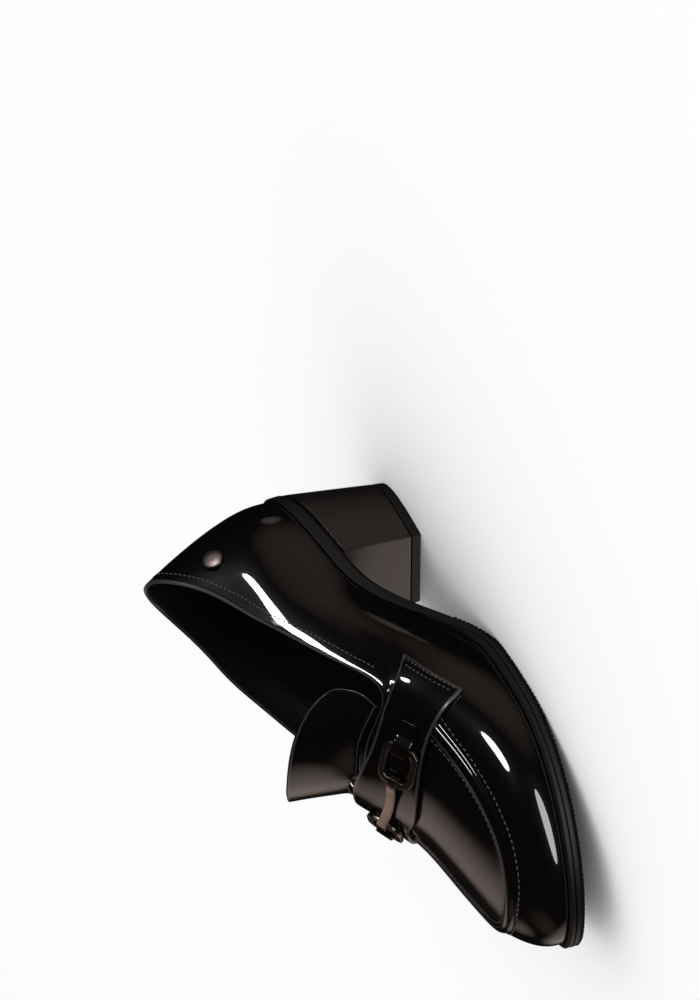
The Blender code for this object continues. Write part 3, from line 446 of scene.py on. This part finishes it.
def smooth_line(table, steps=16):
    """Catmull-Rom line through the rows of a table, as an array with many rows."""
    rows = np.array(table, float)
    rows = np.vstack([2 * rows[0] - rows[1], rows, 2 * rows[-1] - rows[-2]])
    line = []
    for a, b, c, d in zip(rows[:-3], rows[1:-2], rows[2:-1], rows[3:]):
        for t in np.linspace(0, 1, steps, endpoint=False):
            bend = 2 * a - 5 * b + 4 * c - d + t * (3 * b - a - 3 * c + d)
            line.append(b + 0.5 * t * (c - a + t * bend))
    return np.array(line + [rows[-2]])


def even_line(points, pitch):
    """The same line again, with points a pitch apart."""
    points = np.array([tuple(p) for p in points])
    reach = np.concatenate([[0], np.cumsum(np.linalg.norm(np.diff(points, axis=0), axis=1))])
    count = max(int(reach[-1] / pitch), 1)
    spots = np.linspace(0, reach[-1], count + 1)
    return [Vector([float(np.interp(s, reach, points[:, k])) for k in range(3)]) for s in spots]


def on_skin(tree, start, way, reach):
    """The place where a ray meets the skin, or None."""
    return tree.ray_cast(start, way, reach)[0]


def shoe_line(table):
    """Smooth line in millimetres through a table of shares of length and half width."""
    return smooth_line([(along * SHOE_LENGTH, out * BALL_HALF_WIDTH) for along, out in table])


def finish_mesh(name, work, look):
    mesh = bpy.data.meshes.new(name)
    work.to_mesh(mesh)
    work.free()
    mesh.materials.append(look)
    return add_piece(name, mesh)


BEAD_SEGMENTS = 8
BEAD_RINGS = 5
BEAD_FLATNESS = 0.4
BEAD_PROUD = 0.08


def sew(name, tree, points, pitch=2.3, length=1.7, thick=0.55):
    """Beads along a line of points that already lie on the skin."""
    line = even_line(points, pitch * MM)
    size = Matrix.Diagonal((length / 2 * MM, thick / 2 * MM, thick * BEAD_FLATNESS * MM, 1.0))
    work = bmesh.new()
    for here, ahead in zip(line[:-1], line[1:]):
        spot, normal, _, _ = tree.find_nearest((here + ahead) / 2)
        way = (ahead - here).normalized()
        aside = normal.cross(way).normalized()
        turn = Matrix((way, aside, normal)).transposed().to_4x4()
        bmesh.ops.create_uvsphere(
            work, u_segments=BEAD_SEGMENTS, v_segments=BEAD_RINGS, radius=1.0,
            matrix=Matrix.Translation(spot + normal * BEAD_PROUD * MM) @ turn @ size,
        )
    for face in work.faces:
        face.smooth = True
    finish_mesh(name, work, thread)
    print(name, "stitches", len(line) - 1)


upper_tree = skin_tree(upper)

# %% [markdown]
# ### Row below the topline
#
# The topline's places are shares of the shoe's length, of half its width at the ball and of the
# back's height, from the inner end of the strap round the heel to the outer end. The row keeps the
# same distance below it all the way.

# %% Topline row
TOPLINE_COLUMNS = ("along", "out", "rise")
TOPLINE = (
    (0.515, -0.780, 0.800), (0.437, -0.700, 0.830), (0.342, -0.585, 0.785), (0.253, -0.480, 0.789),
    (0.168, -0.365, 0.860), (0.104, -0.190, 0.965), (0.0895, 0.0, 1.0), (0.104, 0.190, 0.955),
    (0.165, 0.355, 0.800), (0.247, 0.460, 0.680), (0.338, 0.565, 0.652), (0.437, 0.670, 0.700),
    (0.485, 0.722, 0.703),
)
TOPLINE_DROP = 5.0
COLLAR_MIDDLE = world(60, 0, 0)
RAY_START = 12 * MM
RAY_REACH = 30 * MM


def topline_place(row, up=0.0):
    return world(row[0] * SHOE_LENGTH, row[1] * BALL_HALF_WIDTH, up)


def topline_row(drop):
    line = smooth_line(TOPLINE)
    spots = []
    for i, row in enumerate(line):
        step = topline_place(line[min(i + 1, len(line) - 1)]) - topline_place(line[max(i - 1, 0)])
        outward = Vector((step.y, -step.x, 0)).normalized()
        if outward.dot(topline_place(row) - COLLAR_MIDDLE) < 0:
            outward = -outward
        up = sole_top(row[0] * SHOE_LENGTH) + row[2] * BACK_RISE - drop
        start = topline_place(row, up) + outward * RAY_START
        spots.append(on_skin(upper_tree, start, -outward, RAY_REACH))
    return [spot for spot in spots if spot]


print("topline:", len(TOPLINE), "rows of", TOPLINE_COLUMNS)
sew("topline_stitches", upper_tree, topline_row(TOPLINE_DROP))

# %% [markdown]
# ### Rows beside the raised seam
#
# A moccasin front is gathered where the plug meets the side, and the roll between them is held by a
# row of stitches on each side. The seam's middle line is a table of shares, and the rows lie a few
# millimetres out and in from it.

# %% Seam rows
SEAM_COLUMNS = ("along", "out")
SEAM = (
    (0.600, 0.829), (0.652, 0.791), (0.726, 0.740), (0.800, 0.655), (0.863, 0.505), (0.908, 0.265),
    (0.925, -0.065), (0.906, -0.390), (0.860, -0.575), (0.796, -0.690), (0.726, -0.757),
    (0.656, -0.791), (0.600, -0.822),
)
SEAM_ROW_AWAY = 2.9
PLUG_MIDDLE = (150.0, -3.0)
ABOVE_SHOE = 110.0
DOWN = Vector((0, 0, -1))
DOWN_REACH = 120 * MM


def seam_row(shift):
    line = shoe_line(SEAM)
    spots = []
    for i, place in enumerate(line):
        step = line[min(i + 1, len(line) - 1)] - line[max(i - 1, 0)]
        away = np.array([-step[1], step[0]]) / np.hypot(*step)
        if away @ (place - PLUG_MIDDLE) < 0:
            away = -away
        start = world(*(place + away * shift), ABOVE_SHOE)
        spots.append(on_skin(upper_tree, start, DOWN, DOWN_REACH))
    return [spot for spot in spots if spot]


print("seam:", len(SEAM), "rows of", SEAM_COLUMNS)
for label, shift in (("outer", SEAM_ROW_AWAY), ("inner", -SEAM_ROW_AWAY)):
    sew(f"seam_stitches_{label}", upper_tree, seam_row(shift), pitch=2.6, length=1.9)

# %% [markdown]
# ### Ends of the saddle strap
#
# Each end of the strap is sewn to the vamp with two rows. The rows follow the strap's lower edge,
# which is found by moving a level ray down the side until it misses the strap.

# %% Strap rows
STRAP_END_ALONG = {1: (120.0, 144.5), -1: (131.0, 158.5)}
STRAP_ROW_LIFTS = (1.8, 4.2)
STRAP_RAYS = 14
BESIDE_SHOE = 70.0
SIDE_REACH = 60 * MM
UPS_TRIED = np.arange(12.0, 70.0, 0.25)
strap_tree = skin_tree(strap)


def strap_end_row(side, lift):
    level = Vector((-side, 0, 0))
    spots = []
    for along in np.linspace(*STRAP_END_ALONG[side], STRAP_RAYS):
        def meet(up):
            return on_skin(strap_tree, world(along, side * BESIDE_SHOE, up), level, SIDE_REACH)

        lowest = next((up for up in UPS_TRIED if meet(up)), None)
        if lowest is not None:
            spots.append(meet(lowest + lift))
    return [spot for spot in spots if spot]


for side, label in ((1, "outer"), (-1, "inner")):
    for number, lift in enumerate(STRAP_ROW_LIFTS):
        name = f"strap_stitches_{label}_{number}"
        sew(name, strap_tree, strap_end_row(side, lift), pitch=2.0, length=1.5)

# %% [markdown]
# ## Teeth of the sole's edge
#
# The bevel along the sole's lower edge is moulded with fine teeth that give it grip. They are small
# blocks set in the bevel from the arch round the toe, each a cube turned to the bevel's slope, and
# together one mesh.

# %% Teeth round the sole
SOLE_EDGE_COLUMNS = ("along", "out")
SOLE_EDGE = (
    (0.429, 0.755), (0.524, 0.895), (0.594, 0.970), (0.668, 1.000), (0.750, 0.965), (0.833, 0.850),
    (0.905, 0.660), (0.966, 0.385), (1.0, -0.060), (0.964, -0.510), (0.903, -0.750),
    (0.833, -0.885), (0.750, -0.945), (0.668, -0.932), (0.594, -0.852), (0.524, -0.739),
    (0.429, -0.602),
)
TOOTH_PITCH = 2.1
TOOTH_WIDTH = 1.1
TOOTH_DEPTH = 1.2
TOOTH_HEIGHT = 1.5
TOOTH_INSET = 0.75
TOOTH_UP = 0.95
TOOTH_SLOPE = 0.8
BALL_MIDDLE = world(150, 0, 0)


def build_teeth():
    edge = [world(along, out, sole_bottom(along)) for along, out in shoe_line(SOLE_EDGE)]
    spots = even_line(edge, TOOTH_PITCH * MM)
    size = Matrix.Diagonal((TOOTH_WIDTH * MM, TOOTH_DEPTH * MM, TOOTH_HEIGHT * MM, 1.0))
    work = bmesh.new()
    for here, ahead in zip(spots[:-1], spots[1:]):
        way = (ahead - here).normalized()
        outward = way.cross(Vector((0, 0, 1))).normalized()
        if outward.dot(here - BALL_MIDDLE) < 0:
            outward = -outward
        slope = (outward - Vector((0, 0, TOOTH_SLOPE))).normalized()
        turn = Matrix((way, slope, way.cross(slope))).transposed().to_4x4()
        spot = (here + ahead) / 2 - outward * TOOTH_INSET * MM + Vector((0, 0, TOOTH_UP * MM))
        bmesh.ops.create_cube(work, size=1.0, matrix=Matrix.Translation(spot) @ turn @ size)
    bmesh.ops.recalc_face_normals(work, faces=work.faces)
    finish_mesh("sole_teeth", work, rubber)
    return len(spots) - 1


print("sole's edge:", len(SOLE_EDGE), "rows of", SOLE_EDGE_COLUMNS)
print("teeth:", build_teeth())

# %% [markdown]
# ## Studio
#
# The floor is a plain pale plane that gives soft light back to the shoe. It isn't mirrored, because
# the shoe in the picture mirrors a dark room.

# %% Floor
FLOOR_HALF_SIZE = 6.0
FLOOR_COLOUR = (0.93, 0.935, 0.945, 1.0)


def build_floor():
    work = bmesh.new()
    bmesh.ops.create_grid(work, x_segments=1, y_segments=1, size=FLOOR_HALF_SIZE)
    mesh = bpy.data.meshes.new("floor")
    work.to_mesh(mesh)
    work.free()
    look = bpy.data.materials.new("pale_floor")
    look.use_nodes = True
    shader = look.node_tree.nodes["Principled BSDF"]
    shader.inputs["Base Color"].default_value = FLOOR_COLOUR
    shader.inputs["Roughness"].default_value = 0.9
    shader.inputs["Specular IOR Level"].default_value = 0.1
    mesh.materials.append(look)
    floor = bpy.data.objects.new("floor", mesh)
    bpy.context.scene.collection.objects.link(floor)
    floor.visible_glossy = False
    floor.visible_shadow = False
    return floor


print("floor:", build_floor().dimensions[:])

# %% [markdown]
# ### World
#
# A black mirror shows whatever stands round it. So the world gives one light to the camera and to
# soft shading, which is bright, and another to mirrored rays. That other world is nearly black, with
# a few warm patches that fade out softly, and each patch tints one part of the shoe: the front of
# the plug, the toe, the counter and the faces of the heel.

# %% World
STUDIO_DARK = (0.006, 0.0052, 0.005)
GLOW_COLUMNS = ("name", "toward", "full_within", "gone_beyond", "red", "green", "blue")
GLOWS = (
    ("front_of_plug", (-0.77, 0.08, 0.63), 4.0, 25.0, 0.84, 0.66, 0.60),
    ("toe", (-0.42, -0.72, 0.55), 4.0, 26.0, 0.20, 0.15, 0.13),
    ("below_the_heel", (0.74, 0.56, -0.41), 7.0, 30.0, 0.29, 0.217, 0.185),
    ("back_of_heel", (0.32, 0.90, -0.34), 1.0, 6.0, 0.45, 0.40, 0.37),
    ("before_the_heel", (-0.78, -0.56, -0.28), 14.0, 40.0, 0.95, 0.78, 0.70),
)
FLOOR_LIGHT = 1.07


def build_world():
    world_light = bpy.data.worlds.new("studio")
    world_light.use_nodes = True
    world_light.cycles.sampling_method = "NONE"
    nodes, links = world_light.node_tree.nodes, world_light.node_tree.links
    pale = nodes["Background"]
    pale.inputs["Color"].default_value = (1.0, 1.0, 1.0, 1.0)
    pale.inputs["Strength"].default_value = FLOOR_LIGHT
    dim = nodes.new("ShaderNodeBackground")
    places = nodes.new("ShaderNodeTexCoord")
    total = None
    for name, toward, near, far, *colour in GLOWS:
        facing = nodes.new("ShaderNodeVectorMath")
        facing.operation = "DOT_PRODUCT"
        facing.inputs[1].default_value = Vector(toward).normalized()
        fade = nodes.new("ShaderNodeMapRange")
        fade.interpolation_type = "SMOOTHSTEP"
        fade.inputs["From Min"].default_value = math.cos(math.radians(far))
        fade.inputs["From Max"].default_value = math.cos(math.radians(near))
        patch = nodes.new("ShaderNodeVectorMath")
        patch.operation = "MULTIPLY_ADD"
        patch.label = name
        patch.inputs[1].default_value = colour
        patch.inputs[2].default_value = STUDIO_DARK
        links.new(places.outputs["Generated"], facing.inputs[0])
        links.new(facing.outputs["Value"], fade.inputs["Value"])
        links.new(fade.outputs["Result"], patch.inputs[0])
        if total:
            links.new(total, patch.inputs[2])
        total = patch.outputs[0]
    links.new(total, dim.inputs["Color"])
    path = nodes.new("ShaderNodeLightPath")
    mix = nodes.new("ShaderNodeMixShader")
    links.new(path.outputs["Is Glossy Ray"], mix.inputs["Fac"])
    links.new(pale.outputs[0], mix.inputs[1])
    links.new(dim.outputs[0], mix.inputs[2])
    links.new(mix.outputs[0], nodes["World Output"].inputs["Surface"])
    bpy.context.scene.world = world_light


build_world()
bpy.context.scene.view_settings.view_transform = "Standard"
print("glows:", len(GLOWS), "rows of", GLOW_COLUMNS)

# %% [markdown]
# ### Soft boxes
#
# Each box is an oval area light that only shows in mirrored rays. Its table gives the direction in
# which it stands from the shoe, its distance, width, height and power. The ovals make the highlights
# taper at both ends.

# %% Lights
SOFT_BOX_COLUMNS = ("name", "toward", "distance", "width", "height", "power")
SOFT_BOXES = (
    ("quarter_box", (0.765, 0.56, 0.38), 1.3, 0.23, 0.11, 3.2),
    ("vamp_box", (0.975, 0.13, 0.23), 1.3, 0.15, 0.17, 2.0),
    ("low_box", (0.85, -0.44, -0.30), 1.1, 0.72, 0.26, 4.6),
)
SHOE_MIDDLE = world(125, 0, 45)


def build_soft_box(name, toward, distance, width, height, power):
    lamp = bpy.data.lights.new(name, "AREA")
    lamp.shape = "ELLIPSE"
    lamp.size = width
    lamp.size_y = height
    lamp.energy = power
    box = bpy.data.objects.new(name, lamp)
    box.location = SHOE_MIDDLE + Vector(toward).normalized() * distance
    box.rotation_euler = (box.location - SHOE_MIDDLE).to_track_quat("Z", "Y").to_euler()
    box.visible_diffuse = False
    bpy.context.scene.collection.objects.link(box)
    return box


for row in SOFT_BOXES:
    build_soft_box(**dict(zip(SOFT_BOX_COLUMNS, row)))
print("soft boxes:", len(SOFT_BOXES))

# %% [markdown]
# ### Camera
#
# A long lens stands on the outer side, a little in front of the shoe and above it. The shoe in the
# picture lies on its side, so the camera is rolled until heel and toe point the same way.

# %% Camera
CAMERA_SPOT = Vector((0.9389, -0.6537, 0.3577))
CAMERA_TARGET = Vector((0.0939, -0.0447, 0.0478))
CAMERA_LENS = 98.8
SENSOR_WIDTH = 36.0
CAMERA_ROLL = -106.97

lens = bpy.data.cameras.new("camera")
lens.lens = CAMERA_LENS
lens.sensor_width = SENSOR_WIDTH
lens.clip_start = 0.01
camera = bpy.data.objects.new("camera", lens)
level_turn = (CAMERA_TARGET - CAMERA_SPOT).to_track_quat("-Z", "Y")
roll = Matrix.Rotation(math.radians(CAMERA_ROLL), 4, "Z")
camera.matrix_world = Matrix.Translation(CAMERA_SPOT) @ level_turn.to_matrix().to_4x4() @ roll
bpy.context.scene.collection.objects.link(camera)
bpy.context.scene.camera = camera
print("camera:", tuple(round(v, 3) for v in camera.location))
